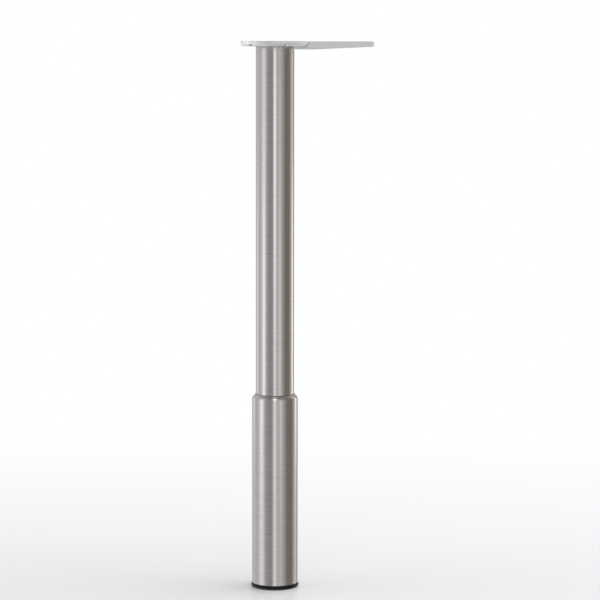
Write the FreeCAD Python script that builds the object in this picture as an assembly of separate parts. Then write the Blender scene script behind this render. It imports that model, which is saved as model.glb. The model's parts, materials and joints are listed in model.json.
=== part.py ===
import FreeCAD, Part
import math
import os
from FreeCAD import Vector

# Height-adjustable table leg. A tube telescopes in a sleeve; turning the sleeve turns a screw
# spindle that carries the tube. A swivel foot stands on the floor, and a round plate with a
# lever lock holds the leg to the surface it is screwed to.
# Millimetres. The leg's axis is Z, the floor is Z = 0, and the lever points along +X.

# Driving dimensions

LEG_HEIGHT = 710.0          # floor to mounting face at the lowest setting
STROKE = 150.0              # how far the leg extends

TUBE_DIAMETER = 50.0
TUBE_WALL = 1.5
SLEEVE_WALL = 1.5
GUIDE_THICKNESS = 3.5       # from the outside of the tube to the bore of the sleeve
SLEEVE_TOP = 254.0          # floor to the sleeve's rim
SHOULDER_SLOPE = 45.0       # degrees from level, of the cone at the sleeve's top
SHOULDER_ROUND = 6.0        # outside of the bend from the sleeve's wall to the cone
RIM_WIDTH = 0.4             # flat edge left between the sleeve's shoulder and its neck
NECK_GAP = 0.6              # from the tube to the neck of the sleeve
GUIDE_LIP = 0.45            # how far the guide bush stands out of the neck
EDGE_BREAK = 0.4            # small chamfer on cut tube ends

FOOT_MARGIN = 1.0           # how far the foot stands out past the sleeve
FOOT_THICKNESS = 5.0
FOOT_BOTTOM_ROUND = 2.9
FOOT_TOP_ROUND = 1.9
FOOT_HUB_DIAMETER = 25.0
FOOT_HUB_RISE = 3.0         # hub above the foot's top face
FOOT_HUB_WEB = 3.2          # hub material over the screw head

FOOT_SCREW_HEAD_DIAMETER = 15.0
FOOT_SCREW_HEAD_HEIGHT = 3.8
FOOT_SCREW_SHOULDER = 10.0
FOOT_SCREW_THREAD = 8.0
FOOT_SCREW_REACH = 9.5      # thread length in the spindle
FOOT_SCREW_KEY = 5.0
KEY_DEPTH = 2.4
THRUST_WASHER_THICKNESS = 0.9

SPINDLE_DIAMETER = 20.0
SPINDLE_JOURNAL = 14.0
SPINDLE_FLANGE_DIAMETER = 30.0
SPINDLE_FLANGE_THICKNESS = 4.0
LOCK_NUT_WIDTH = 22.0       # across flats
LOCK_NUT_HEIGHT = 5.5
LOCK_WASHER_WIDTH = 3.5
LOCK_WASHER_THICKNESS = 1.6
PLUG_WEB = 9.0
PLUG_NUT_SPACE = 3.2        # free ring around the lock nut for a spanner
DRIVE_PIN_DIAMETER = 4.0
DRIVE_PIN_LENGTH = 36.0

STOP_WASHER_DIAMETER = 28.0
STOP_WASHER_THICKNESS = 3.0
STOP_SCREW_THREAD = 6.0
STOP_SCREW_REACH = 14.0
STOP_SCREW_HEAD_DIAMETER = 10.0
STOP_SCREW_HEAD_HEIGHT = 6.0
STOP_SCREW_KEY = 5.0

NUT_DIAMETER = 28.0
NUT_LENGTH = 30.0
NUT_FLANGE_WIDTH = 34.0     # across flats
NUT_FLANGE_THICKNESS = 4.0
CARRIER_LENGTH = 26.0       # depth of the carrier in the tube
CARRIER_FLANGE = 4.5
RING_LIP = 1.5              # lip of the slide ring under the tube's end
RING_HEIGHT = 18.0

PLATE_MARGIN = 20.2         # from the outside of the tube to the plate's rim
PLATE_THICKNESS = 6.8
PLATE_RIM_ROUND = 5.0
PLATE_ROOF = 2.4            # plate left over the socket
SCREW_RIM_DISTANCE = 5.8    # from the rim to the centre of a screw hole
SCREW_ANGLES = (73.0, 135.0, -135.0, -73.0)
SCREW_HOLE = 5.2
SCREW_COUNTERBORE = 10.8
SCREW_COUNTERBORE_DEPTH = 3.2

HEAD_LENGTH = 28.0
HEAD_WALL = 3.4
HEAD_NECK_DIAMETER = 23.0
SOCKET_INSET = 3.5          # from the tube's bore to the socket's wall
LIP_HALF_ANGLE = 60.0

PIVOT_DROP = 7.7            # mounting face to the lever's pivot
PIVOT_INSET = 1.7           # rim of the plate to the lever's pivot
PIN_DIAMETER = 3.0
LUG_RADIUS = 2.9
LUG_THICKNESS = 3.3
CAST_ROUND = 0.7            # small round on the cast edges of the rib and its lugs
CAM_RADIUS = 3.0            # round of the cam about the pivot
CAM_TIP_RADIUS = 1.2
CAM_WIDTH = 10.4
BOLT_WIDTH = 10.0
BOLT_THICKNESS = 3.0
BOLT_END_BAR = 2.7
RELEASE_GAP = 0.8           # free space from bolt tip to leg head when the lever is open
POST_DIAMETER = 2.4
SPRING_DIAMETER = 2.8
SPRING_WIRE = 0.4
SPRING_TURNS = 5

LEVER_LENGTH = 83.2         # pivot to the lever's end
LEVER_WIDTH = 26.0
LEVER_WALL = 2.0
LEVER_FLOOR = 1.8
LEVER_NOSE_RADIUS = 3.2
LEVER_NOSE_GAP = 0.7        # open joint around the nose in the plate's rim
LEVER_END_HEIGHT = 6.7
LEVER_FACE_GAP = 0.4        # lever below the mounting face
LEVER_CORNER = 6.0
LEVER_EDGE_ROUND = 1.2

# Clearances

PRESS_GAP = 0.03            # pressed or glued pieces
THREAD_GAP = 0.1            # plain cylinders that stand for a thread
RUNNING_GAP = 0.08          # tube in its guide bush, ring in the sleeve, pin in the lever
FLAT_GAP = 0.15             # flat faces that turn or slide on each other
LOOSE_GAP = 0.4             # around pieces that only pass each other
SEAT_GAP = 0.3              # head in socket, sleeve over foot

# Derived sizes

tube_radius = TUBE_DIAMETER / 2
tube_bore = tube_radius - TUBE_WALL
sleeve_bore = tube_radius + GUIDE_THICKNESS
sleeve_radius = sleeve_bore + SLEEVE_WALL
neck_radius = tube_radius + NECK_GAP
rim_radius = neck_radius + RIM_WIDTH
shoulder_slope = math.radians(SHOULDER_SLOPE)
shoulder_turn = 90 - SHOULDER_SLOPE
cone_height = (sleeve_radius - rim_radius) * math.tan(shoulder_slope)
bend_reach = SHOULDER_ROUND * math.tan(math.radians(shoulder_turn / 2))
shoulder_start = SLEEVE_TOP - cone_height - bend_reach
neck_bottom = SLEEVE_TOP + RIM_WIDTH * math.tan(shoulder_slope) - SLEEVE_WALL / math.cos(shoulder_slope)

foot_radius = sleeve_radius + FOOT_MARGIN
hub_top = FOOT_THICKNESS + FOOT_HUB_RISE
screw_seat = hub_top - FOOT_HUB_WEB
washer_bottom = hub_top + FLAT_GAP / 2
washer_top = washer_bottom + THRUST_WASHER_THICKNESS
spindle_bottom = washer_top + FLAT_GAP / 2
sleeve_bottom = FOOT_THICKNESS + SEAT_GAP
plug_bottom = sleeve_bottom + EDGE_BREAK
nut_bottom = spindle_bottom + LOOSE_GAP
lock_washer_bottom = nut_bottom + LOCK_NUT_HEIGHT
web_bottom = lock_washer_bottom + LOCK_WASHER_THICKNESS
web_top = web_bottom + PLUG_WEB
foot_screw_end = spindle_bottom + FOOT_SCREW_REACH
drive_pin_height = foot_screw_end + LOOSE_GAP + DRIVE_PIN_DIAMETER
lock_nut_corner = LOCK_NUT_WIDTH / math.sqrt(3)
nut_space = max(lock_nut_corner, FOOT_HUB_DIAMETER / 2) + PLUG_NUT_SPACE
flange_top = web_top + SPINDLE_FLANGE_THICKNESS

carrier_bottom = flange_top + LOOSE_GAP
carrier_flange_top = carrier_bottom + CARRIER_FLANGE
tube_bottom = carrier_flange_top + RING_LIP
nut_top = carrier_bottom + NUT_LENGTH
ring_top = carrier_flange_top + RING_HEIGHT
bush_bottom = ring_top + STROKE + LOOSE_GAP
spindle_top = nut_top + STROKE + LOOSE_GAP
ring_radius = sleeve_bore - RUNNING_GAP

plate_radius = tube_radius + PLATE_MARGIN
plate_bottom = LEG_HEIGHT - PLATE_THICKNESS
tube_top = plate_bottom - FLAT_GAP
socket_radius = tube_bore - SOCKET_INSET
socket_roof = LEG_HEIGHT - PLATE_ROOF
head_flange_radius = socket_radius - SEAT_GAP
screw_circle = plate_radius - SCREW_RIM_DISTANCE

pivot_x = plate_radius - PIVOT_INSET
pivot_z = LEG_HEIGHT - PIVOT_DROP
cam_reach = PIVOT_DROP - LEVER_FACE_GAP
bolt_travel = cam_reach - CAM_RADIUS
bolt_bottom = pivot_z - BOLT_THICKNESS / 2
bolt_top = pivot_z + BOLT_THICKNESS / 2
bolt_tip = head_flange_radius - bolt_travel + RELEASE_GAP
bolt_end = pivot_x - cam_reach - FLAT_GAP
rib_bottom = pivot_z - LUG_RADIUS
head_top = socket_roof - SEAT_GAP
head_flange_bottom = bolt_top + FLAT_GAP
head_shoulder = rib_bottom - LOOSE_GAP
notch_bottom = rib_bottom - LOOSE_GAP
slot_half = CAM_WIDTH / 2 + LOOSE_GAP
lug_half = slot_half + LUG_THICKNESS
knuckle_inside = lug_half + LOOSE_GAP
slot_start = bolt_end - LOOSE_GAP
window_end = bolt_end - BOLT_END_BAR
window_half = SPRING_DIAMETER / 2 + SEAT_GAP
post_radius = POST_DIAMETER / 2
post_x = tube_radius + post_radius
window_start = post_x - post_radius - bolt_travel - LOOSE_GAP
spring_start = post_x + post_radius + FLAT_GAP
spring_length = window_end - spring_start - FLAT_GAP

lever_half = LEVER_WIDTH / 2
lever_end = pivot_x + LEVER_LENGTH
lever_top = LEG_HEIGHT - LEVER_FACE_GAP
lever_floor_start = pivot_x + max(LUG_RADIUS, LEVER_NOSE_RADIUS) + LOOSE_GAP


# Shape helpers

def cylinder(radius, bottom, top, x=0.0, y=0.0):
    return Part.makeCylinder(radius, top - bottom, Vector(x, y, bottom))


def ring(outer, inner, bottom, top):
    return cylinder(outer, bottom, top).cut(cylinder(inner, bottom, top))


def block(x_start, x_end, half_width, bottom, top):
    corner = Vector(x_start, -half_width, bottom)
    return Part.makeBox(x_end - x_start, 2 * half_width, top - bottom, corner)


def cross_cylinder(radius, half_length, x, z):
    return Part.makeCylinder(radius, 2 * half_length, Vector(x, -half_length, z), Vector(0, 1, 0))


def hexagon(width, bottom, top):
    corner = width / math.sqrt(3)
    points = []
    for step in range(7):
        angle = math.radians(60 * step)
        points.append(Vector(corner * math.cos(angle), corner * math.sin(angle), bottom))
    return Part.Face(Part.makePolygon(points)).extrude(Vector(0, 0, top - bottom))


def line(start, end):
    return Part.makeLine(Vector(start[0], 0, start[1]), Vector(end[0], 0, end[1]))


def arc(start, middle, end):
    points = [Vector(p[0], 0, p[1]) for p in (start, middle, end)]
    return Part.Arc(*points).toShape()


def outline(points):
    corners = [Vector(p[0], 0, p[1]) for p in points]
    return Part.Face(Part.makePolygon(corners + [corners[0]]))


def turned(face):
    return face.revolve(Vector(0, 0, 0), Vector(0, 0, 1), 360)


def on_circle(centre, radius, degrees):
    angle = math.radians(degrees)
    return (centre[0] + radius * math.cos(angle), centre[1] + radius * math.sin(angle))


# Tubes

def upper_tube():
    points = [
        (tube_bore, tube_bottom),
        (tube_radius - EDGE_BREAK, tube_bottom),
        (tube_radius, tube_bottom + EDGE_BREAK),
        (tube_radius, tube_top - EDGE_BREAK),
        (tube_radius - EDGE_BREAK, tube_top),
        (tube_bore, tube_top),
    ]
    notch = block(0, tube_radius + LOOSE_GAP, lug_half + LOOSE_GAP, notch_bottom, LEG_HEIGHT)
    return turned(outline(points)).cut(notch)


def lower_sleeve():
    bend = (sleeve_radius - SHOULDER_ROUND, shoulder_start)
    inner_round = SHOULDER_ROUND - SLEEVE_WALL
    outer_low = on_circle(bend, SHOULDER_ROUND, 0)
    outer_middle = on_circle(bend, SHOULDER_ROUND, shoulder_turn / 2)
    outer_high = on_circle(bend, SHOULDER_ROUND, shoulder_turn)
    inner_low = on_circle(bend, inner_round, 0)
    inner_middle = on_circle(bend, inner_round, shoulder_turn / 2)
    inner_high = on_circle(bend, inner_round, shoulder_turn)
    rim = (rim_radius, SLEEVE_TOP)
    neck_high = (neck_radius, SLEEVE_TOP)
    neck_low = (neck_radius, neck_bottom)
    base_inside = (sleeve_bore, sleeve_bottom)
    base_outside = (sleeve_radius - EDGE_BREAK, sleeve_bottom)
    base_corner = (sleeve_radius, sleeve_bottom + EDGE_BREAK)
    edges = [
        line(base_inside, base_outside),
        line(base_outside, base_corner),
        line(base_corner, outer_low),
        arc(outer_low, outer_middle, outer_high),
        line(outer_high, rim),
        line(rim, neck_high),
        line(neck_high, neck_low),
        line(neck_low, inner_high),
        arc(inner_high, inner_middle, inner_low),
        line(inner_low, base_inside),
    ]
    return turned(Part.Face(Part.Wire(edges)))


def guide_bush():
    inside = tube_radius + RUNNING_GAP
    outside = sleeve_bore - PRESS_GAP
    lip = neck_radius - FLAT_GAP
    points = [
        (inside, bush_bottom),
        (outside, bush_bottom),
        (outside, shoulder_start),
        (lip, neck_bottom - FLAT_GAP),
        (lip, SLEEVE_TOP + GUIDE_LIP),
        (inside, SLEEVE_TOP + GUIDE_LIP),
    ]
    return turned(outline(points))


# Foot

def foot_pad():
    low = (foot_radius - FOOT_BOTTOM_ROUND, FOOT_BOTTOM_ROUND)
    high = (foot_radius - FOOT_TOP_ROUND, FOOT_THICKNESS - FOOT_TOP_ROUND)
    hub = FOOT_HUB_DIAMETER / 2
    bore = FOOT_SCREW_SHOULDER / 2 + RUNNING_GAP
    recess = FOOT_SCREW_HEAD_DIAMETER / 2 + LOOSE_GAP
    low_start = on_circle(low, FOOT_BOTTOM_ROUND, -90)
    low_end = on_circle(low, FOOT_BOTTOM_ROUND, 0)
    high_start = on_circle(high, FOOT_TOP_ROUND, 0)
    high_end = on_circle(high, FOOT_TOP_ROUND, 90)
    edges = [
        line((recess, 0), low_start),
        arc(low_start, on_circle(low, FOOT_BOTTOM_ROUND, -45), low_end),
        line(low_end, high_start),
        arc(high_start, on_circle(high, FOOT_TOP_ROUND, 45), high_end),
        line(high_end, (hub, FOOT_THICKNESS)),
        line((hub, FOOT_THICKNESS), (hub, hub_top)),
        line((hub, hub_top), (bore, hub_top)),
        line((bore, hub_top), (bore, screw_seat)),
        line((bore, screw_seat), (recess, screw_seat)),
        line((recess, screw_seat), (recess, 0)),
    ]
    return turned(Part.Face(Part.Wire(edges)))


def thrust_washer():
    inside = FOOT_SCREW_SHOULDER / 2 + RUNNING_GAP
    return ring(FOOT_HUB_DIAMETER / 2, inside, washer_bottom, washer_top)


def foot_screw():
    head_top_face = screw_seat - FLAT_GAP
    head_bottom = head_top_face - FOOT_SCREW_HEAD_HEIGHT
    head = cylinder(FOOT_SCREW_HEAD_DIAMETER / 2, head_bottom, head_top_face)
    shoulder = cylinder(FOOT_SCREW_SHOULDER / 2, head_top_face, spindle_bottom)
    thread = cylinder(FOOT_SCREW_THREAD / 2, spindle_bottom, foot_screw_end)
    key = hexagon(FOOT_SCREW_KEY, head_bottom, head_bottom + KEY_DEPTH)
    return head.fuse(shoulder).fuse(thread).cut(key)


# Spindle and what holds it in the sleeve

def base_plug():
    outside = sleeve_bore - PRESS_GAP
    body = cylinder(outside, plug_bottom, web_top)
    body = body.cut(cylinder(nut_space, plug_bottom, web_bottom))
    body = body.cut(cylinder(SPINDLE_JOURNAL / 2 + PRESS_GAP, web_bottom, web_top))
    pin_radius = DRIVE_PIN_DIAMETER / 2 + PRESS_GAP
    return body.cut(cross_cylinder(pin_radius, sleeve_radius, 0, drive_pin_height))


def spindle():
    journal = cylinder(SPINDLE_JOURNAL / 2, spindle_bottom, web_top)
    flange = cylinder(SPINDLE_FLANGE_DIAMETER / 2, web_top, flange_top)
    screw = cylinder(SPINDLE_DIAMETER / 2, flange_top, spindle_top)
    body = journal.fuse(flange).fuse(screw)
    foot_thread = FOOT_SCREW_THREAD / 2 + PRESS_GAP
    body = body.cut(cylinder(foot_thread, spindle_bottom, foot_screw_end + LOOSE_GAP))
    stop_thread = STOP_SCREW_THREAD / 2 + PRESS_GAP
    stop_depth = spindle_top - STOP_SCREW_REACH - LOOSE_GAP
    body = body.cut(cylinder(stop_thread, stop_depth, spindle_top))
    pin_radius = DRIVE_PIN_DIAMETER / 2 + PRESS_GAP
    return body.cut(cross_cylinder(pin_radius, SPINDLE_JOURNAL, 0, drive_pin_height))


def drive_pin():
    return cross_cylinder(DRIVE_PIN_DIAMETER / 2, DRIVE_PIN_LENGTH / 2, 0, drive_pin_height)


def lock_nut():
    body = hexagon(LOCK_NUT_WIDTH, nut_bottom, lock_washer_bottom)
    bore = SPINDLE_JOURNAL / 2 + PRESS_GAP
    return body.cut(cylinder(bore, nut_bottom, lock_washer_bottom))


def lock_washer():
    inside = SPINDLE_JOURNAL / 2 + THREAD_GAP
    body = ring(inside + LOCK_WASHER_WIDTH, inside, lock_washer_bottom, web_bottom)
    split = block(0, inside + 2 * LOCK_WASHER_WIDTH, LOOSE_GAP, lock_washer_bottom, web_bottom)
    return body.cut(split)


def stop_washer():
    top = spindle_top + STOP_WASHER_THICKNESS
    inside = STOP_SCREW_THREAD / 2 + THREAD_GAP
    return ring(STOP_WASHER_DIAMETER / 2, inside, spindle_top, top)


def stop_screw():
    seat = spindle_top + STOP_WASHER_THICKNESS
    top = seat + STOP_SCREW_HEAD_HEIGHT
    head = cylinder(STOP_SCREW_HEAD_DIAMETER / 2, seat, top)
    thread = cylinder(STOP_SCREW_THREAD / 2, spindle_top - STOP_SCREW_REACH, seat)
    return head.fuse(thread).cut(hexagon(STOP_SCREW_KEY, top - KEY_DEPTH, top))


# Lower end of the tube

def nut_carrier():
    inside_tube = tube_bore - PRESS_GAP
    flange = cylinder(ring_radius - LOOSE_GAP, carrier_bottom, carrier_flange_top)
    body = cylinder(inside_tube, carrier_flange_top, carrier_flange_top + CARRIER_LENGTH)
    carrier = flange.fuse(body)
    pocket_top = carrier_bottom + NUT_FLANGE_THICKNESS
    carrier = carrier.cut(hexagon(NUT_FLANGE_WIDTH + 2 * PRESS_GAP, carrier_bottom, pocket_top))
    bore = NUT_DIAMETER / 2 + PRESS_GAP
    return carrier.cut(cylinder(bore, carrier_bottom, carrier_flange_top + CARRIER_LENGTH))


def spindle_nut():
    flange = hexagon(NUT_FLANGE_WIDTH, carrier_bottom, carrier_bottom + NUT_FLANGE_THICKNESS)
    body = cylinder(NUT_DIAMETER / 2, carrier_bottom, nut_top)
    bore = SPINDLE_DIAMETER / 2 + THREAD_GAP
    return flange.fuse(body).cut(cylinder(bore, carrier_bottom, nut_top))


def slide_ring():
    around_tube = tube_radius + PRESS_GAP
    points = [
        (tube_bore, carrier_flange_top),
        (ring_radius - EDGE_BREAK, carrier_flange_top),
        (ring_radius, carrier_flange_top + EDGE_BREAK),
        (ring_radius, ring_top - EDGE_BREAK),
        (ring_radius - EDGE_BREAK, ring_top),
        (around_tube, ring_top),
        (around_tube, tube_bottom),
        (tube_bore, tube_bottom),
    ]
    return turned(outline(points))


# Head of the leg and its lock in the plate

def leg_head():
    outside = tube_bore - PRESS_GAP
    bottom = head_shoulder - HEAD_LENGTH
    body = cylinder(outside, bottom, head_shoulder)
    body = body.cut(cylinder(outside - HEAD_WALL, bottom, head_shoulder - HEAD_WALL))
    neck = cylinder(HEAD_NECK_DIAMETER / 2, head_shoulder, head_flange_bottom)
    flange = cylinder(head_flange_radius, head_flange_bottom, head_top)
    return body.fuse(neck).fuse(flange)


def plate_disc():
    rim = (plate_radius - PLATE_RIM_ROUND, plate_bottom + PLATE_RIM_ROUND)
    low = on_circle(rim, PLATE_RIM_ROUND, -90)
    high = on_circle(rim, PLATE_RIM_ROUND, 0)
    top_inside = (plate_radius - EDGE_BREAK, LEG_HEIGHT)
    top_outside = (plate_radius, LEG_HEIGHT - EDGE_BREAK)
    edges = [
        line((0, plate_bottom), low),
        arc(low, on_circle(rim, PLATE_RIM_ROUND, -45), high),
        line(high, top_outside),
        line(top_outside, top_inside),
        line(top_inside, (0, LEG_HEIGHT)),
        line((0, LEG_HEIGHT), (0, plate_bottom)),
    ]
    return turned(Part.Face(Part.Wire(edges)))


def plate_lip():
    angle = 2 * LIP_HALF_ANGLE
    height = plate_bottom + FLAT_GAP - bolt_bottom
    foot = Vector(0, 0, bolt_bottom)
    up = Vector(0, 0, 1)
    outer = Part.makeCylinder(tube_bore - LOOSE_GAP, height, foot, up, angle)
    lip = outer.cut(cylinder(socket_radius, bolt_bottom, plate_bottom + FLAT_GAP))
    hook_outer = Part.makeCylinder(tube_bore - LOOSE_GAP, BOLT_THICKNESS, foot, up, angle)
    hook = hook_outer.cut(cylinder(bolt_tip, bolt_bottom, bolt_top))
    lip = lip.fuse(hook)
    lip.rotate(Vector(0, 0, 0), up, 180 - LIP_HALF_ANGLE)
    return lip


def plate_rib():
    rib_top = plate_bottom + FLAT_GAP
    pivot = (pivot_x, pivot_z)
    lug_low = on_circle(pivot, LUG_RADIUS, -90)
    lug_high = on_circle(pivot, LUG_RADIUS, 90)
    edges = [
        line((socket_radius, rib_top), (socket_radius, rib_bottom)),
        line((socket_radius, rib_bottom), lug_low),
        arc(lug_low, on_circle(pivot, LUG_RADIUS, 0), lug_high),
        line(lug_high, (slot_start, lug_high[1])),
        line((slot_start, lug_high[1]), (slot_start, rib_top)),
        line((slot_start, rib_top), (socket_radius, rib_top)),
    ]
    rib = Part.Face(Part.Wire(edges)).extrude(Vector(0, 2 * lug_half, 0))
    rib.translate(Vector(0, -lug_half, 0))
    low_edges = []
    for edge in rib.Edges:
        box = edge.BoundBox
        along_rib = box.XMax - box.XMin > FLAT_GAP and box.YMax - box.YMin < FLAT_GAP
        if along_rib and box.ZMin < rib_bottom + FLAT_GAP:
            low_edges.append(edge)
    return rib.makeFillet(CAST_ROUND, low_edges)


def mounting_plate():
    plate = plate_disc().fuse(plate_rib())
    plate = plate.cut(cylinder(socket_radius, plate_bottom, socket_roof))
    plate = plate.fuse(plate_lip())
    channel_half = BOLT_WIDTH / 2 + FLAT_GAP
    channel_low = bolt_bottom - FLAT_GAP
    channel_high = bolt_top + FLAT_GAP
    plate = plate.cut(block(tube_bore / 2, slot_start, channel_half, channel_low, channel_high))
    past_rim = plate_radius + LUG_RADIUS
    plate = plate.cut(block(slot_start, past_rim, slot_half, rib_bottom, LEG_HEIGHT))
    post = cylinder(post_radius, bolt_bottom + FLAT_GAP, channel_high + FLAT_GAP, post_x)
    plate = plate.fuse(post)
    reach = LEVER_NOSE_RADIUS + LEVER_NOSE_GAP
    relief = cross_cylinder(reach, plate_radius, pivot_x, pivot_z)
    plate = plate.cut(relief.cut(cross_cylinder(reach, lug_half, pivot_x, pivot_z)))
    plate = plate.cut(cross_cylinder(PIN_DIAMETER / 2 + PRESS_GAP, lug_half, pivot_x, pivot_z))
    for degrees in SCREW_ANGLES:
        x, y = on_circle((0, 0), screw_circle, degrees)
        seat = plate_bottom + SCREW_COUNTERBORE_DEPTH
        plate = plate.cut(cylinder(SCREW_COUNTERBORE / 2, plate_bottom, seat, x, y))
        plate = plate.cut(cylinder(SCREW_HOLE / 2, seat, LEG_HEIGHT, x, y))
    return plate.removeSplitter()


def lock_bolt():
    # The end under the cam is bevelled above the pivot's height, so that the cam can swing up past it.
    points = [
        (bolt_tip, bolt_bottom),
        (bolt_end, bolt_bottom),
        (bolt_end, pivot_z),
        (bolt_end - BOLT_THICKNESS / 2, bolt_top),
        (bolt_tip, bolt_top),
    ]
    body = outline(points).extrude(Vector(0, BOLT_WIDTH, 0))
    body.translate(Vector(0, -BOLT_WIDTH / 2, 0))
    window = block(window_start, window_end, window_half, bolt_bottom, bolt_top)
    tip_corners = []
    for edge in body.Edges:
        middle = edge.CenterOfMass
        if abs(middle.x - bolt_tip) < FLAT_GAP and abs(middle.z - pivot_z) < FLAT_GAP:
            tip_corners.append(edge)
    body = body.makeFillet(BOLT_THICKNESS, tip_corners)
    return body.cut(window)


def bolt_spring():
    coil_radius = (SPRING_DIAMETER - SPRING_WIRE) / 2
    coil_length = spring_length - SPRING_WIRE
    pitch = coil_length / SPRING_TURNS
    helix = Part.makeHelix(pitch, coil_length, coil_radius)
    along_wire = Vector(0, coil_radius, pitch / (2 * math.pi))
    section = Part.makeCircle(SPRING_WIRE / 2, Vector(coil_radius, 0, 0), along_wire)
    coil = Part.Wire(helix.Edges).makePipeShell([Part.Wire([section])], True, True)
    coil.rotate(Vector(0, 0, 0), Vector(0, 1, 0), 90)
    coil.translate(Vector(spring_start + SPRING_WIRE / 2, 0, pivot_z))
    return coil


def lever_pin():
    return cross_cylinder(PIN_DIAMETER / 2, lever_half, pivot_x, pivot_z)


def lever_side_face(inset, floor):
    nose_low = pivot_z - LEVER_NOSE_RADIUS + floor
    end_low = lever_top - LEVER_END_HEIGHT + floor
    points = [
        (pivot_x, nose_low),
        (lever_end - inset, end_low),
        (lever_end - inset, lever_top),
        (pivot_x, lever_top),
    ]
    return outline(points)


def lever_shell():
    shell = lever_side_face(0, 0).extrude(Vector(0, LEVER_WIDTH, 0))
    shell.translate(Vector(0, -lever_half, 0))
    end_corners = []
    for edge in shell.Edges:
        middle = edge.CenterOfMass
        at_end = abs(middle.x - lever_end) < FLAT_GAP
        at_side = abs(abs(middle.y) - lever_half) < FLAT_GAP
        if at_end and at_side:
            end_corners.append(edge)
    shell = shell.makeFillet(LEVER_CORNER, end_corners)
    # The underside is the largest face below the top; its edge at the pivot stays sharp for the nose.
    low_faces = [face for face in shell.Faces if face.BoundBox.ZMax < lever_top - FLAT_GAP]
    underside = max(low_faces, key=lambda face: face.Area)
    low_edges = []
    for edge in underside.Edges:
        if edge.BoundBox.XMax > pivot_x + FLAT_GAP:
            low_edges.append(edge)
    return shell.makeFillet(LEVER_EDGE_ROUND, low_edges)


def lever_cam():
    hub = cross_cylinder(CAM_RADIUS, CAM_WIDTH / 2, pivot_x, pivot_z)
    tip_x = pivot_x - cam_reach + CAM_TIP_RADIUS
    tip = cross_cylinder(CAM_TIP_RADIUS, CAM_WIDTH / 2, tip_x, pivot_z)
    spread = math.degrees(math.acos((CAM_RADIUS - CAM_TIP_RADIUS) / (pivot_x - tip_x)))
    hub_high = on_circle((pivot_x, pivot_z), CAM_RADIUS, 180 - spread)
    hub_low = on_circle((pivot_x, pivot_z), CAM_RADIUS, 180 + spread)
    tip_high = on_circle((tip_x, pivot_z), CAM_TIP_RADIUS, 180 - spread)
    tip_low = on_circle((tip_x, pivot_z), CAM_TIP_RADIUS, 180 + spread)
    lobe = outline([hub_high, tip_high, tip_low, hub_low]).extrude(Vector(0, CAM_WIDTH, 0))
    lobe.translate(Vector(0, -CAM_WIDTH / 2, 0))
    arm_end = lever_floor_start + LEVER_CORNER
    arm = block(pivot_x, arm_end, CAM_WIDTH / 2, pivot_z - CAM_RADIUS, pivot_z)
    return hub.fuse(tip).fuse(lobe).fuse(arm)


def lock_lever():
    nose = cross_cylinder(LEVER_NOSE_RADIUS, lever_half, pivot_x, pivot_z)
    around_rim = cylinder(plate_radius + LOOSE_GAP, pivot_z, LEG_HEIGHT)
    lever = lever_shell().cut(around_rim).fuse(nose)
    pocket_half = lever_half - LEVER_WALL
    pocket = lever_side_face(LEVER_WALL, LEVER_FLOOR).extrude(Vector(0, 2 * pocket_half, 0))
    pocket.translate(Vector(0, -pocket_half, 0))
    pocket_start = block(0, lever_floor_start, pocket_half, rib_bottom - LOOSE_GAP, LEG_HEIGHT)
    lever = lever.cut(pocket.cut(pocket_start))
    low = pivot_z - 2 * LEVER_NOSE_RADIUS
    lever = lever.cut(block(0, lever_floor_start, knuckle_inside, low, LEG_HEIGHT))
    lever = lever.fuse(lever_cam())
    bore = PIN_DIAMETER / 2 + RUNNING_GAP
    return lever.cut(cross_cylinder(bore, lever_half, pivot_x, pivot_z)).removeSplitter()


NODES = (
    mounting_plate,
    lock_lever,
    lever_pin,
    lock_bolt,
    bolt_spring,
    leg_head,
    upper_tube,
    nut_carrier,
    spindle_nut,
    slide_ring,
    lower_sleeve,
    guide_bush,
    base_plug,
    drive_pin,
    spindle,
    lock_nut,
    lock_washer,
    stop_washer,
    stop_screw,
    thrust_washer,
    foot_screw,
    foot_pad,
)

os.makedirs("parts", exist_ok=True)
for make_node in NODES:
    node_shape = make_node()
    node_shape.exportStep("parts/" + make_node.__name__ + ".step")
    print(make_node.__name__, len(node_shape.Solids), node_shape.isValid(), round(node_shape.Volume, 1))
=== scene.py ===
# %% [markdown]
# # A height adjustable table leg
#
# The real leg is a brushed steel tube that slides in a wider brushed sleeve. Turning the sleeve
# turns a screw spindle inside and lifts the tube. A black foot swivels under the sleeve, and a
# cast plate with a lever lock holds the leg at its top.
#
# The solids come in at their real size as a fixed frame. This lesson gives them their surfaces,
# and models again, more finely, the turned pieces that the eye follows from end to end.

# %% Load the frame
import json
import math

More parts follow.
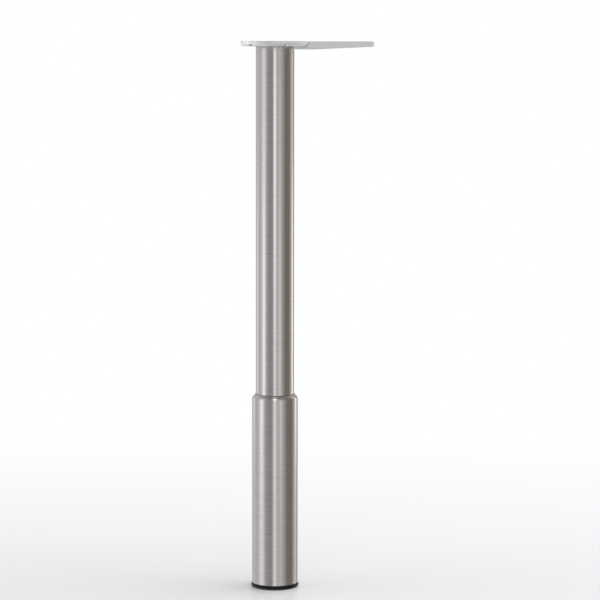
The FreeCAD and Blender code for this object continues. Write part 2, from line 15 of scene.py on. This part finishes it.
import bmesh
import bpy
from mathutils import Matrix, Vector


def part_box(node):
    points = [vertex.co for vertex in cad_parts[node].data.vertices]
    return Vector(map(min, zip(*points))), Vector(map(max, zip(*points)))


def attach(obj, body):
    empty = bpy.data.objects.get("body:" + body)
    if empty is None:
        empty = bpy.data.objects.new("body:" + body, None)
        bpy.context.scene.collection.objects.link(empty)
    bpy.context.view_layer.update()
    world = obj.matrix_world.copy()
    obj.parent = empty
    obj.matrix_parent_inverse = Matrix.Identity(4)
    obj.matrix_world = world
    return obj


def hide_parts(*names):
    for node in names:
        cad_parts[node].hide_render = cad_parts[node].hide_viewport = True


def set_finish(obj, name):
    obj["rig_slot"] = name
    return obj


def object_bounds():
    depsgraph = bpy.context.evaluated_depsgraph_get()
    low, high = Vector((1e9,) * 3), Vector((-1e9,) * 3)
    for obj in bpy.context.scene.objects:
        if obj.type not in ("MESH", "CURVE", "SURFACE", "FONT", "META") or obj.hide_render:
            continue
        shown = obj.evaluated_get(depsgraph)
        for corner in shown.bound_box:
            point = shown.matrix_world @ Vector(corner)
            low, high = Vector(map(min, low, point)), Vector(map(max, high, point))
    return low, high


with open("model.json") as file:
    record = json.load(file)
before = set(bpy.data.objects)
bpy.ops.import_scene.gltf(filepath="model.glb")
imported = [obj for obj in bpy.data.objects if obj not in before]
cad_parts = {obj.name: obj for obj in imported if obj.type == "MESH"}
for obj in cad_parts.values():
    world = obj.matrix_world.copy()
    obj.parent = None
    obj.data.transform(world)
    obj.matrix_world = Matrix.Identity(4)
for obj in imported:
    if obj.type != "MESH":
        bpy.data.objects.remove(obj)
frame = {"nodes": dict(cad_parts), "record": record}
cad_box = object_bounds()
MM = 0.001
nodes_of_frame = frame["nodes"]
print("frame holds", len(nodes_of_frame), "nodes,", [round(v / MM) for v in cad_box[1] - cad_box[0]], "mm")

# %% [markdown]
# ## Drawing a turned piece
#
# Tube, sleeve, bush and foot are all round about the leg's axis, so each is half a section turned
# once around it. A section could be typed in as a list of points. Drawing it with the extrude and
# spin tools, one stroke after another, keeps every round a true arc and is what a modeller does
# by hand: a single vertex is the pen, a straight stroke extrudes it, and a round spins it.

# %% Pen strokes and turning
ROUND_STEPS = 10
TURN_STEPS = 160
MERGE = 0.001 * MM
SHARP_FROM = 30


def start_section(name, x, z):
    bpy.ops.object.select_all(action="DESELECT")
    bpy.ops.mesh.primitive_plane_add(size=MM)
    piece = bpy.context.object
    piece.name = name
    bpy.ops.object.mode_set(mode="EDIT")
    bpy.ops.mesh.select_all(action="SELECT")
    bpy.ops.mesh.merge(type="CENTER")
    bpy.ops.transform.translate(value=(x, 0, z))
    return piece


def pen():
    mesh = bmesh.from_edit_mesh(bpy.context.object.data)
    return next(vertex.co.copy() for vertex in mesh.verts if vertex.select)


def line_to(x, z):
    stroke = Vector((x, 0, z)) - pen()
    bpy.ops.mesh.extrude_vertices_move(TRANSFORM_OT_translate={"value": stroke})


def round_about(x, z, degrees):
    # Counter-clockwise as the front camera sees it, with X to the right and Z up.
    bpy.ops.mesh.spin(steps=ROUND_STEPS, angle=math.radians(degrees), center=(x, 0, z), axis=(0, 1, 0))


def turn_section(piece):
    bpy.ops.mesh.select_all(action="SELECT")
    bpy.ops.mesh.remove_doubles(threshold=MERGE)
    bpy.ops.mesh.spin(steps=TURN_STEPS, angle=math.tau, center=(0, 0, 0), axis=(0, 0, 1))
    bpy.ops.mesh.select_all(action="SELECT")
    bpy.ops.mesh.remove_doubles(threshold=MERGE)
    bpy.ops.mesh.normals_make_consistent(inside=False)
    finish_mesh(piece)


def finish_mesh(piece):
    bpy.ops.object.mode_set(mode="OBJECT")
    bpy.ops.object.shade_smooth_by_angle(angle=math.radians(SHARP_FROM))
    print(piece.name, "has", len(piece.data.polygons), "faces")


# %% [markdown]
# ## Sleeve
#
# The sleeve is drawn steel with a thin wall. Its upper end is rolled in over a round, and a short
# cone runs up from there to a narrow flat edge around the tube. Its lower edge is broken by a
# small chamfer that shows as a bright line. A smooth round bends the shading of the faces next
# to it, so a holding line just under the shoulder keeps the long wall shaded as a straight one.

# %% Sleeve
SHEET = 1.5 * MM
EDGE_BREAK = 0.4 * MM
NECK_GAP = 0.6 * MM
RIM_WIDTH = 0.4 * MM
SHOULDER_SLOPE = 45
SHOULDER_ROUND = 6.0 * MM
HOLDING_LINE = 1.0 * MM

tube_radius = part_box("upper_tube")[1].y
sleeve_low, sleeve_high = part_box("lower_sleeve")
sleeve_radius = sleeve_high.y
neck = tube_radius + NECK_GAP
rim = neck + RIM_WIDTH
slope = math.radians(SHOULDER_SLOPE)
bend_angle = 90 - SHOULDER_SLOPE
bend_reach = SHOULDER_ROUND * math.tan(math.radians(bend_angle / 2))
bend_middle = sleeve_radius - SHOULDER_ROUND
shoulder_start = sleeve_high.z - (sleeve_radius - rim) * math.tan(slope) - bend_reach
inner_round = SHOULDER_ROUND - SHEET
inner_end_x = bend_middle + inner_round * math.sin(slope)
inner_end_z = shoulder_start + inner_round * math.cos(slope)
neck_bottom = sleeve_high.z + RIM_WIDTH * math.tan(slope) - SHEET / math.cos(slope)

sleeve = start_section("sleeve_brushed", sleeve_radius - SHEET, sleeve_low.z)
line_to(sleeve_radius - EDGE_BREAK, sleeve_low.z)
line_to(sleeve_radius, sleeve_low.z + EDGE_BREAK)
line_to(sleeve_radius, shoulder_start - HOLDING_LINE)
line_to(sleeve_radius, shoulder_start)
round_about(bend_middle, shoulder_start, bend_angle)
line_to(rim, sleeve_high.z)
line_to(neck, sleeve_high.z)
line_to(neck, neck_bottom)
line_to(inner_end_x, inner_end_z)
round_about(bend_middle, shoulder_start, -bend_angle)
line_to(sleeve_radius - SHEET, sleeve_low.z)
turn_section(sleeve)
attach(sleeve, "sleeve")
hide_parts("lower_sleeve")
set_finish(sleeve, "tube_steel")

# %% [markdown]
# ## Tube
#
# The tube is cut from stock and has one notch in its upper end, where the plate's rib passes.
# A circle pulled up into a wall is cut along the notch's three sides, the piece between the cuts
# is deleted, and Solidify then gives the wall its thickness, so that the notch has clean walls.
# One more cut is the holding line near the lower end.

# %% Tube
NOTCH_HALF = 9.3 * MM
NOTCH_DEPTH = 4.05 * MM
BROKEN_FROM = 60

tube_low, tube_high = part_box("upper_tube")
notch_bottom = tube_high.z - NOTCH_DEPTH
bpy.ops.object.select_all(action="DESELECT")
bpy.ops.mesh.primitive_circle_add(vertices=TURN_STEPS, radius=tube_radius, location=(0, 0, tube_low.z))
tube = bpy.context.object
tube.name = "tube_brushed"
bpy.ops.object.transform_apply(location=True)
bpy.ops.object.mode_set(mode="EDIT")
bpy.ops.mesh.select_all(action="SELECT")
bpy.ops.mesh.extrude_region_move(TRANSFORM_OT_translate={"value": (0, 0, tube_high.z - tube_low.z)})


def cut_across(point, normal):
    bpy.ops.mesh.select_all(action="SELECT")
    bpy.ops.mesh.bisect(plane_co=point, plane_no=normal)


cut_across((0, 0, tube_low.z + HOLDING_LINE), (0, 0, 1))
cut_across((0, 0, notch_bottom), (0, 0, 1))
cut_across((0, NOTCH_HALF, 0), (0, 1, 0))
cut_across((0, -NOTCH_HALF, 0), (0, 1, 0))
bpy.ops.mesh.select_mode(type="FACE")
bpy.ops.mesh.select_all(action="DESELECT")
wall = bmesh.from_edit_mesh(tube.data)
for face in wall.faces:
    middle = face.calc_center_median()
    face.select = middle.x > 0 and abs(middle.y) < NOTCH_HALF and middle.z > notch_bottom
bmesh.update_edit_mesh(tube.data)
bpy.ops.mesh.delete(type="FACE")
bpy.ops.mesh.select_mode(type="VERT")
bpy.ops.mesh.select_all(action="SELECT")
bpy.ops.mesh.remove_doubles(threshold=MERGE)
bpy.ops.mesh.normals_make_consistent(inside=False)
bpy.ops.object.mode_set(mode="OBJECT")
thickness = tube.modifiers.new("wall", "SOLIDIFY")
thickness.thickness = SHEET
thickness.offset = -1
thickness.use_even_offset = True
bpy.ops.object.modifier_apply(modifier="wall")
edges = tube.modifiers.new("broken_edges", "BEVEL")
edges.width = EDGE_BREAK / 2
edges.segments = 2
edges.limit_method = "ANGLE"
edges.angle_limit = math.radians(BROKEN_FROM)
bpy.ops.object.modifier_apply(modifier="broken_edges")
finish_mesh(tube)
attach(tube, "leg")
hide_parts("upper_tube")
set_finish(tube, "tube_steel")

# %% [markdown]
# ## Guide bush
#
# A dark plastic bush keeps the tube straight in the sleeve. Only its lip shows, as the thin dark
# line where the tube comes out of the sleeve's neck.

# %% Guide bush
SLIDE_GAP = 0.08 * MM
PRESS_GAP = 0.03 * MM
LIP_GAP = 0.15 * MM

bush_low, bush_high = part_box("guide_bush")
bush_outside = sleeve_radius - SHEET - PRESS_GAP
lip = neck - LIP_GAP
bush = start_section("bush_moulded", tube_radius + SLIDE_GAP, bush_low.z)
line_to(bush_outside, bush_low.z)
line_to(bush_outside, shoulder_start)
line_to(lip, neck_bottom - LIP_GAP)
line_to(lip, bush_high.z)
line_to(tube_radius + SLIDE_GAP, bush_high.z)
line_to(tube_radius + SLIDE_GAP, bush_low.z)
turn_section(bush)
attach(bush, "sleeve")
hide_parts("guide_bush")
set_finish(bush, "guide_plastic")

# %% [markdown]
# ## Foot
#
# The foot is a moulded disc, a little wider than the sleeve, so that it shows as a black line
# under it. Its edge is well rounded, and a hub in its middle holds the swivel screw.

# %% Foot
FOOT_THICKNESS = 5.0 * MM
FOOT_LOW_ROUND = 2.9 * MM
FOOT_HIGH_ROUND = 1.9 * MM
HUB_RADIUS = 12.5 * MM
HUB_BORE = 5.08 * MM
SCREW_RECESS = 7.9 * MM
SCREW_SEAT = 4.8 * MM

foot_low, foot_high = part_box("foot_pad")
foot_radius = foot_high.y
foot = start_section("foot_moulded", SCREW_RECESS, foot_low.z)
line_to(foot_radius - FOOT_LOW_ROUND, foot_low.z)
round_about(foot_radius - FOOT_LOW_ROUND, foot_low.z + FOOT_LOW_ROUND, 90)
line_to(foot_radius, FOOT_THICKNESS - FOOT_HIGH_ROUND)
round_about(foot_radius - FOOT_HIGH_ROUND, FOOT_THICKNESS - FOOT_HIGH_ROUND, 90)
line_to(HUB_RADIUS, FOOT_THICKNESS)
line_to(HUB_RADIUS, foot_high.z)
line_to(HUB_BORE, foot_high.z)
line_to(HUB_BORE, SCREW_SEAT)
line_to(SCREW_RECESS, SCREW_SEAT)
line_to(SCREW_RECESS, foot_low.z)
turn_section(foot)
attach(foot, "foot")
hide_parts("foot_pad")
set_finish(foot, "foot_plastic")

# %% [markdown]
# ## Finishes
#
# Each finish starts from the same shader. What is even over the whole surface is set on the
# shader itself, and noise that follows the making of the surface does the rest.

# %% Helpers for finishes
NOISE_LOW = 0.3
NOISE_HIGH = 0.7


def new_finish(name, metallic):
    finish = bpy.data.materials.new(name)
    finish.use_nodes = True
    shader = finish.node_tree.nodes["Principled BSDF"]
    shader.inputs["Metallic"].default_value = metallic
    return finish, shader


def noise_on(finish, scale, stretch=(1, 1, 1), detail=3.0):
    nodes, links = finish.node_tree.nodes, finish.node_tree.links
    place = nodes.new("ShaderNodeTexCoord")
    mapping = nodes.new("ShaderNodeMapping")
    mapping.inputs["Scale"].default_value = stretch
    noise = nodes.new("ShaderNodeTexNoise")
    noise.inputs["Scale"].default_value = scale
    noise.inputs["Detail"].default_value = detail
    links.new(place.outputs["Object"], mapping.inputs["Vector"])
    links.new(mapping.outputs["Vector"], noise.inputs["Vector"])
    return noise.outputs["Fac"]


def colour_from(finish, shader, height, dark, light):
    nodes, links = finish.node_tree.nodes, finish.node_tree.links
    ramp = nodes.new("ShaderNodeValToRGB")
    ramp.color_ramp.elements[0].position = NOISE_LOW
    ramp.color_ramp.elements[0].color = (*dark, 1)
    ramp.color_ramp.elements[1].position = NOISE_HIGH
    ramp.color_ramp.elements[1].color = (*light, 1)
    links.new(height, ramp.inputs["Fac"])
    links.new(ramp.outputs["Color"], shader.inputs["Base Color"])


def roughness_from(finish, shader, height, smooth, rough):
    nodes, links = finish.node_tree.nodes, finish.node_tree.links
    spread = nodes.new("ShaderNodeMapRange")
    spread.inputs["From Min"].default_value = NOISE_LOW
    spread.inputs["From Max"].default_value = NOISE_HIGH
    spread.inputs["To Min"].default_value = smooth
    spread.inputs["To Max"].default_value = rough
    links.new(height, spread.inputs["Value"])
    links.new(spread.outputs["Result"], shader.inputs["Roughness"])


def bump_from(finish, shader, height, depth, strength):
    nodes, links = finish.node_tree.nodes, finish.node_tree.links
    bump = nodes.new("ShaderNodeBump")
    bump.inputs["Strength"].default_value = strength
    bump.inputs["Distance"].default_value = depth
    links.new(height, bump.inputs["Height"])
    links.new(bump.outputs["Normal"], shader.inputs["Normal"])


# %% [markdown]
# ### Brushed steel
#
# Tube and sleeve are turned against an abrasive belt, so fine scratches run around them. The
# scratches spread a reflection along the leg and leave it sharp across, which is why the leg
# shows clean upright bands. Anisotropic gloss gives that: its tangent runs around Z, and a
# quarter turn lays the wide side of the highlight along the leg. Noise that is stretched around
# the tube draws the strokes themselves.

# %% Brushed steel


def brushed_steel():
    finish, shader = new_finish("brushed_steel", 1.0)
    nodes, links = finish.node_tree.nodes, finish.node_tree.links
    shader.inputs["Anisotropic"].default_value = 0.85
    shader.inputs["Anisotropic Rotation"].default_value = 0.25
    tangent = nodes.new("ShaderNodeTangent")
    tangent.direction_type = "RADIAL"
    tangent.axis = "Z"
    links.new(tangent.outputs["Tangent"], shader.inputs["Tangent"])
    strokes = noise_on(finish, 1.0, (60, 60, 900), 4.0)
    colour_from(finish, shader, strokes, (0.585, 0.58, 0.575), (0.66, 0.655, 0.65))
    roughness_from(finish, shader, strokes, 0.2, 0.26)
    scratches = noise_on(finish, 1.0, (120, 120, 5000), 2.0)
    bump_from(finish, shader, scratches, 0.02 * MM, 0.15)
    return finish


# %% [markdown]
# ### Silver casting
#
# Plate and lever are die castings with a silver satin coat. The coat is smooth to the hand, but
# the casting's skin under it rolls a little, so a coarse noise moves the gloss and a fine one
# gives a slight grain.

# %% Silver casting


def silver_casting():
    finish, shader = new_finish("silver_casting", 0.45)
    skin = noise_on(finish, 260.0, detail=3.0)
    colour_from(finish, shader, skin, (0.72, 0.722, 0.726), (0.75, 0.752, 0.756))
    roughness_from(finish, shader, skin, 0.42, 0.47)
    grain = noise_on(finish, 2600.0, detail=2.0)
    bump_from(finish, shader, grain, 0.015 * MM, 0.1)
    return finish


def raw_casting():
    finish, shader = new_finish("raw_casting", 1.0)
    skin = noise_on(finish, 180.0, detail=5.0)
    colour_from(finish, shader, skin, (0.5, 0.51, 0.52), (0.64, 0.65, 0.66))
    roughness_from(finish, shader, skin, 0.42, 0.58)
    bump_from(finish, shader, skin, 0.08 * MM, 0.35)
    return finish


# %% [markdown]
# ### Dark plastics
#
# The black foot has the fine grain of a spark-eroded mould. The bush and the slide pieces are
# dark grey, come from polished moulds and are glossier.

# %% Dark plastics


def grained_plastic():
    finish, shader = new_finish("grained_black_plastic", 0.0)
    shader.inputs["Specular IOR Level"].default_value = 0.22
    grain = noise_on(finish, 1800.0, detail=4.0)
    colour_from(finish, shader, grain, (0.006, 0.006, 0.0065), (0.013, 0.013, 0.014))
    roughness_from(finish, shader, grain, 0.36, 0.5)
    bump_from(finish, shader, grain, 0.06 * MM, 0.35)
    return finish


def smooth_plastic():
    finish, shader = new_finish("smooth_dark_plastic", 0.0)
    flow = noise_on(finish, 90.0, detail=2.0)
    colour_from(finish, shader, flow, (0.065, 0.064, 0.063), (0.085, 0.084, 0.082))
    roughness_from(finish, shader, flow, 0.34, 0.46)
    bump_from(finish, shader, flow, 0.02 * MM, 0.1)
    return finish


# %% [markdown]
# ### Plated steel, spring wire and brass
#
# Screws, pins, washers and the spindle are plated, the spring is drawn wire and the nut is
# turned brass. Turning marks go round the leg's axis, so their noise is stretched as well.

# %% Small metals


def plated_steel():
    finish, shader = new_finish("plated_steel", 1.0)
    cloud = noise_on(finish, 220.0, detail=4.0)
    colour_from(finish, shader, cloud, (0.52, 0.53, 0.55), (0.64, 0.65, 0.67))
    roughness_from(finish, shader, cloud, 0.26, 0.38)
    bump_from(finish, shader, cloud, 0.01 * MM, 0.15)
    return finish


def drawn_wire():
    finish, shader = new_finish("drawn_wire", 1.0)
    cloud = noise_on(finish, 900.0, detail=3.0)
    colour_from(finish, shader, cloud, (0.34, 0.34, 0.36), (0.46, 0.46, 0.48))
    roughness_from(finish, shader, cloud, 0.28, 0.4)
    bump_from(finish, shader, cloud, 0.01 * MM, 0.15)
    return finish


def turned_brass():
    finish, shader = new_finish("turned_brass", 1.0)
    rings = noise_on(finish, 1.0, (60, 60, 3000), 3.0)
    colour_from(finish, shader, rings, (0.72, 0.54, 0.25), (0.82, 0.64, 0.33))
    roughness_from(finish, shader, rings, 0.24, 0.36)
    bump_from(finish, shader, rings, 0.02 * MM, 0.2)
    return finish


# %% [markdown]
# Every piece of the frame names the finish that it has in the record, so one table gives each
# slot its finish, for the solids as well as for the pieces made here.

# %% Dress every piece
finish_of_slot = {
    "tube_steel": brushed_steel(),
    "cast_silver": silver_casting(),
    "plain_casting": raw_casting(),
    "plain_steel": plated_steel(),
    "spring_steel": drawn_wire(),
    "nut_brass": turned_brass(),
    "guide_plastic": smooth_plastic(),
    "foot_plastic": grained_plastic(),
}
for subpart in frame["record"]["subparts"]:
    solid = nodes_of_frame[subpart["node"]]
    for place in solid.material_slots:
        place.material = finish_of_slot[subpart["material_slot"]]
for piece in (sleeve, tube, bush, foot):
    piece.data.materials.append(finish_of_slot[piece["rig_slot"]])
print("finishes:", sorted(finish.name for finish in finish_of_slot.values()))

# %% [markdown]
# ## Studio
#
# Steel shows what stands around it. The leg was lit as metal usually is, between white and grey
# cards with dark gaps: a narrow bright card in front, a wider one to the left, a dim one right of
# the front and a dark gap at the right. An upright oval card high in front makes the bright spot
# on the sleeve's shoulder. Cards could be modelled, but a world that changes with the direction
# does the same without anything in the way. Camera rays see plain white instead, and so does the
# metal where the white backdrop stands behind the leg.

# %% Cards around the leg
FULL_TURN = 360
CARD_LEVEL = 1.3
BACKDROP_EDGE = (0.9, 0.96)
CEILING_SIDES = (-0.75, -0.4)
GROUND_SIDES = (-0.6, 0.6)
CEILING_EDGE = (0.45, 0.9)
GROUND_EDGE = (-0.4, -0.8)
OVAL_EDGE = (1.25, 0.75)
cards = [
    ("backdrop", -180, (0.5, 0.5, 0.5)),
    ("left backdrop", -152, (0.56, 0.56, 0.56)),
    ("far left card", -127, (0.71, 0.70, 0.71)),
    ("left gap", -101, (0.61, 0.605, 0.60)),
    ("left card", -69, (1.0, 0.965, 0.94)),
    ("left flag", -42, (0.42, 0.395, 0.40)),
    ("left flag middle", -28, (0.355, 0.318, 0.35)),
    ("left flag end", -15, (0.362, 0.328, 0.362)),
    ("front card", -1, (1.075, 1.03, 1.045)),
    ("front gap", 14, (0.605, 0.585, 0.595)),
    ("dim card", 30, (0.66, 0.635, 0.64)),
    ("right slope", 48, (0.485, 0.45, 0.44)),
    ("right flag", 64, (0.245, 0.21, 0.195)),
    ("right flag end", 91, (0.235, 0.198, 0.178)),
    ("far right card", 125, (0.76, 0.71, 0.67)),
    ("far right card end", 132, (0.77, 0.72, 0.68)),
    ("right backdrop", 144, (0.38, 0.37, 0.36)),
    ("backdrop again", 180, (0.5, 0.5, 0.5)),
]
ceiling_left = (0.52, 0.52, 0.52)
ceiling_right = (0.26, 0.255, 0.25)
ground_left = (0.75, 0.75, 0.75)
ground_right = (0.45, 0.44, 0.43)
high_card = ((-0.01, -0.64, 0.77), (0.16, 0.36, 0.26), (1.9, 1.87, 1.87))

world = bpy.data.worlds.new("card_studio")
bpy.context.scene.world = world
world.use_nodes = True
tree = world.node_tree
tree.nodes.clear()


def world_node(kind, **settings):
    node = tree.nodes.new(kind)
    for name, value in settings.items():
        setattr(node, name, value)
    return node


direction = world_node("ShaderNodeTexCoord")
split = world_node("ShaderNodeSeparateXYZ")
to_front = world_node("ShaderNodeMath", operation="MULTIPLY")
to_front.inputs[1].default_value = -1
around = world_node("ShaderNodeMath", operation="ARCTAN2")
share = world_node("ShaderNodeMapRange")
share.inputs["From Min"].default_value = -math.pi
share.inputs["From Max"].default_value = math.pi
ring = world_node("ShaderNodeValToRGB")
ring.color_ramp.interpolation = "EASE"
stops = ring.color_ramp.elements
while len(stops) < len(cards):
    stops.new(0.5)
for stop, (name, azimuth, colour) in zip(stops, cards):
    stop.position = 0.5 + azimuth / FULL_TURN
for stop, (name, azimuth, colour) in zip(stops, cards):
    stop.color = (*[level / CARD_LEVEL for level in colour], 1)
tree.links.new(direction.outputs["Generated"], split.inputs["Vector"])
tree.links.new(split.outputs["Y"], to_front.inputs[0])
tree.links.new(split.outputs["X"], around.inputs[0])
tree.links.new(to_front.outputs["Value"], around.inputs[1])
tree.links.new(around.outputs["Value"], share.inputs["Value"])
tree.links.new(share.outputs["Result"], ring.inputs["Fac"])


def share_of(value, start, end):
    soft_step = world_node("ShaderNodeMapRange", interpolation_type="SMOOTHSTEP")
    soft_step.inputs["From Min"].default_value = start
    soft_step.inputs["From Max"].default_value = end
    tree.links.new(value, soft_step.inputs["Value"])
    return soft_step.outputs["Result"]


def blend_colours(amount, first, second):
    # A colour mix takes its amount at socket 0 and its two colours at sockets 6 and 7.
    mix = world_node("ShaderNodeMix", data_type="RGBA")
    tree.links.new(amount, mix.inputs[0])
    for place, colour in ((6, first), (7, second)):
        if isinstance(colour, tuple):
            mix.inputs[place].default_value = (*[level / CARD_LEVEL for level in colour], 1)
        else:
            tree.links.new(colour, mix.inputs[place])
    return mix.outputs[2]


ceiling = blend_colours(share_of(split.outputs["X"], *CEILING_SIDES), ceiling_left, ceiling_right)
ground = blend_colours(share_of(split.outputs["X"], *GROUND_SIDES), ground_left, ground_right)
upward = share_of(split.outputs["Z"], *CEILING_EDGE)
downward = share_of(split.outputs["Z"], *GROUND_EDGE)
with_ceiling = blend_colours(upward, ring.outputs["Color"], ceiling)
with_ground = blend_colours(downward, with_ceiling, ground)


def oval_card(card, behind):
    place, half_size, colour = card
    offset = world_node("ShaderNodeVectorMath", operation="SUBTRACT")
    offset.inputs[1].default_value = place
    measured = world_node("ShaderNodeVectorMath", operation="DIVIDE")
    measured.inputs[1].default_value = half_size
    reach = world_node("ShaderNodeVectorMath", operation="LENGTH")
    tree.links.new(direction.outputs["Generated"], offset.inputs[0])
    tree.links.new(offset.outputs["Vector"], measured.inputs[0])
    tree.links.new(measured.outputs["Vector"], reach.inputs[0])
    return blend_colours(share_of(reach.outputs["Value"], *OVAL_EDGE), behind, colour)


all_cards = oval_card(high_card, with_ground)
studio = world_node("ShaderNodeBackground")
studio.inputs["Strength"].default_value = CARD_LEVEL
white = world_node("ShaderNodeBackground")
white.inputs["Color"].default_value = (1, 1, 1, 1)
ray = world_node("ShaderNodeLightPath")
mirrored = world_node("ShaderNodeMath", operation="MULTIPLY")
looked_through = world_node("ShaderNodeMath", operation="MAXIMUM")
seen = world_node("ShaderNodeMath", operation="MAXIMUM")
choose = world_node("ShaderNodeMixShader")
out = world_node("ShaderNodeOutputWorld")
tree.links.new(all_cards, studio.inputs["Color"])
tree.links.new(ray.outputs["Is Glossy Ray"], mirrored.inputs[0])
tree.links.new(share_of(split.outputs["Y"], *BACKDROP_EDGE), mirrored.inputs[1])
tree.links.new(ray.outputs["Is Camera Ray"], looked_through.inputs[0])
tree.links.new(ray.outputs["Is Transmission Ray"], looked_through.inputs[1])
tree.links.new(mirrored.outputs["Value"], seen.inputs[0])
tree.links.new(looked_through.outputs["Value"], seen.inputs[1])
tree.links.new(seen.outputs["Value"], choose.inputs[0])
tree.links.new(studio.outputs["Background"], choose.inputs[1])
tree.links.new(white.outputs["Background"], choose.inputs[2])
tree.links.new(choose.outputs["Shader"], out.inputs["Surface"])
print("cards around the leg:", [name for name, azimuth, colour in cards])

# %% [markdown]
# The floor is pale and a little glossy: it shows a soft shadow to the left of the foot and a
# faint mirror image under it. Away from the leg it pales to white, quickly at first and then
# ever more slowly, as the square root of the distance does.

# %% Floor
FLOOR_SIZE = 80
FLOOR_DROP = 0.2 * MM
FADE_DISTANCE = 1.2
FADE_STRETCH = (0.35, 1, 0)

bpy.ops.object.select_all(action="DESELECT")
bpy.ops.mesh.primitive_plane_add(size=FLOOR_SIZE, location=(0, 0, cad_box[0].z - FLOOR_DROP))
floor = bpy.context.object
floor.name = "floor"
floor.visible_glossy = False
pale, floor_shader = new_finish("pale_floor", 0.0)
floor_shader.inputs["Base Color"].default_value = (0.85, 0.85, 0.86, 1)
floor_shader.inputs["Roughness"].default_value = 0.16
floor_shader.inputs["Specular IOR Level"].default_value = 0.05
floor_nodes, floor_links = pale.node_tree.nodes, pale.node_tree.links
spot = floor_nodes.new("ShaderNodeTexCoord")
stretched = floor_nodes.new("ShaderNodeVectorMath")
stretched.operation = "MULTIPLY"
stretched.inputs[1].default_value = FADE_STRETCH
distance = floor_nodes.new("ShaderNodeVectorMath")
distance.operation = "LENGTH"
near_to_far = floor_nodes.new("ShaderNodeMapRange")
near_to_far.inputs["From Max"].default_value = FADE_DISTANCE
root = floor_nodes.new("ShaderNodeMath")
root.operation = "SQRT"
floor_ray = floor_nodes.new("ShaderNodeLightPath")
only_seen = floor_nodes.new("ShaderNodeMath")
only_seen.operation = "MULTIPLY"
glow = floor_nodes.new("ShaderNodeEmission")
blend = floor_nodes.new("ShaderNodeMixShader")
floor_links.new(spot.outputs["Object"], stretched.inputs[0])
floor_links.new(stretched.outputs["Vector"], distance.inputs[0])
floor_links.new(distance.outputs["Value"], near_to_far.inputs["Value"])
floor_links.new(near_to_far.outputs["Result"], root.inputs[0])
floor_links.new(root.outputs["Value"], only_seen.inputs[0])
floor_links.new(floor_ray.outputs["Is Camera Ray"], only_seen.inputs[1])
floor_links.new(only_seen.outputs["Value"], blend.inputs[0])
floor_links.new(floor_shader.outputs["BSDF"], blend.inputs[1])
floor_links.new(glow.outputs["Emission"], blend.inputs[2])
floor_links.new(blend.outputs["Shader"], floor_nodes["Material Output"].inputs["Surface"])
floor.data.materials.append(pale)
print("floor pales over", FADE_DISTANCE, "m")

# %% [markdown]
# Three soft lamps stand where the photograph's shadows say: a key lamp at the right, above, a
# weaker one at the left that brightens the plate's left rim, and one at the right for the lever's
# end. None of them is mirrored in the steel.

# %% Soft lamps


def soft_lamp(name, place, aim, size, power, spread):
    bpy.ops.object.light_add(type="AREA", location=place)
    lamp = bpy.context.object
    lamp.name = name
    lamp.data.size = size
    lamp.data.energy = power
    lamp.data.spread = math.radians(spread)
    lamp.rotation_euler = (Vector(aim) - Vector(place)).to_track_quat("-Z", "Y").to_euler()
    lamp.visible_glossy = False
    print(name, "at", place)


soft_lamp("key", (1.15, 0.3, 2.75), (0, 0, 0.3), 3.0, 56, 180)
soft_lamp("left", (-1.2, 0.2, 0.55), (0, 0, 0.72), 0.5, 1.0, 40)
soft_lamp("right", (1.6, -0.2, 0.66), (0.05, 0, 0.705), 0.5, 0.5, 40)

# %% [markdown]
# Each bright band is strongest at one height of the leg and fades above and below it, because the
# real cards stand near. A card far away can't show that, so a softbox of its own stands in front
# of each bright card, a metre from the leg. Only glossy surfaces see these weak boxes, so the floor
# shows no trace of them.

# %% Softboxes
SOFTBOX_DISTANCE = 1.0
SOFTBOX_HEIGHT = 0.45


def softbox(name, azimuth, height, width, level):
    turn = math.radians(azimuth)
    place = Vector((math.sin(turn), -math.cos(turn), 0)) * SOFTBOX_DISTANCE
    place.z = height
    bpy.ops.object.light_add(type="AREA", location=place)
    box = bpy.context.object
    box.name = name
    box.data.shape = "RECTANGLE"
    box.data.size = width
    box.data.size_y = SOFTBOX_HEIGHT
    box.data.energy = level * math.pi * width * SOFTBOX_HEIGHT
    box.rotation_euler = Vector((-place.x, -place.y, 0)).to_track_quat("-Z", "Y").to_euler()
    box.visible_camera = False
    box.visible_diffuse = False
    print(name, "at", azimuth, "degrees")


softbox("far_left_box", -127, 0.24, 0.35, 0.31)
softbox("left_box", -69, 0.24, 0.35, 0.42)
softbox("front_box", -1, 0.53, 0.2, 0.52)
softbox("dim_box", 30, 0.24, 0.25, 0.3)
softbox("far_right_box", 128, 0.24, 0.3, 0.8)

# %% [markdown]
# ## Camera
#
# The photograph was taken from about the height of the leg's top with a long lens, looking a
# little down. Distance, height and tilt follow from how flat the ellipses of rim and foot are.

# %% Camera
CAMERA_PLACE = (0.0319, -3.18, 0.716)
CAMERA_TILT = 6.0953
CAMERA_ROLL = -0.085
LENS = 148.17

camera_turn = (math.radians(90 - CAMERA_TILT), math.radians(CAMERA_ROLL), 0)
bpy.ops.object.camera_add(location=CAMERA_PLACE, rotation=camera_turn)
camera = bpy.context.object
camera.data.lens = LENS
bpy.context.scene.camera = camera
bpy.context.scene.view_settings.view_transform = "Standard"
